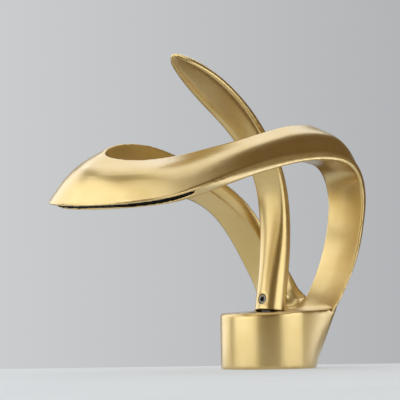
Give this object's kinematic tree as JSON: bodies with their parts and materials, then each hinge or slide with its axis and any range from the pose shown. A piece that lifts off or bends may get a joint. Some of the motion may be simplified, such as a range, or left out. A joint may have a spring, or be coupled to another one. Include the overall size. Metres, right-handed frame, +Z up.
{
  "type": "waterfall basin faucet",
  "caption": "Single-lever basin mixer with a ribbon body that loops forward and pours a flat sheet of water from a slot in its nose.",
  "frame": {"origin": "axis of the base in the plane where it stands on the basin deck", "axes": "+Z up, the spout points to -Y, +X is to the user's right"},
  "size_m": [0.082, 0.1982, 0.215],
  "materials": {
    "brushed_gold_body": "satin",
    "brushed_gold_ring": "satin",
    "brushed_gold_lever": "satin",
    "raw_brass": "turned",
    "flow_insert": "matt",
    "slip_ring": "matt",
    "cartridge_plastic": "matt",
    "carrier_plastic": "matt",
    "turret_plastic": "matt",
    "seal_rubber": "matt",
    "disc_ceramic": "lapped",
    "stainless_steel": "drawn",
    "dark_steel": "black oxide",
    "zinc_plated_steel": "plated"
  },
  "bodies": {
    "body": {"body_casting": "brushed_gold_body", "spout_flow_insert": "flow_insert", "cover_ring": "brushed_gold_ring", "cartridge_retaining_nut": "raw_brass", "nut_washer": "slip_ring", "cartridge_housing": "cartridge_plastic", "cartridge_base_plate": "cartridge_plastic", "cartridge_port_seals": "seal_rubber", "fixed_ceramic_disc": "disc_ceramic", "base_seal_ring": "seal_rubber", "mounting_stud": "zinc_plated_steel", "inlet_filters": "stainless_steel"},
    "turret": {"cartridge_turret": "turret_plastic", "stem_pivot_pin": "stainless_steel"},
    "lever": {"cartridge_stem": "stainless_steel", "handle_lever": "brushed_gold_lever", "handle_grub_screw": "dark_steel"},
    "valve_disc": {"moving_ceramic_disc": "disc_ceramic", "disc_carrier": "carrier_plastic"},
    "clamp": {"deck_gasket": "seal_rubber", "clamp_washer": "zinc_plated_steel", "stud_nut": "raw_brass"}
  },
  "joints": [
    {"name": "temperature_turn", "type": "hinge", "parent": "body", "child": "turret", "pos_m": [0, 0, 0.021], "axis": [0, 0, 1], "range_deg": [-12, 12]},
    {"name": "flow_tilt", "type": "hinge", "parent": "turret", "child": "lever", "pos_m": [0, 0, 0.021], "axis": [1, 0, 0], "range_deg": [-4, 12]},
    {"name": "disc_slide", "type": "slide", "parent": "turret", "child": "valve_disc", "axis": [0, 1, 0], "range_m": [-0.0004, 0.0011]},
    {"name": "deck_clamp", "type": "slide", "parent": "body", "child": "clamp", "axis": [0, 0, 1], "range_m": [-0.01, 0.015]}
  ],
  "couplings": [
    {"joint": "disc_slide", "follows": "flow_tilt", "m_per_rad": 0.00475}
  ]
}
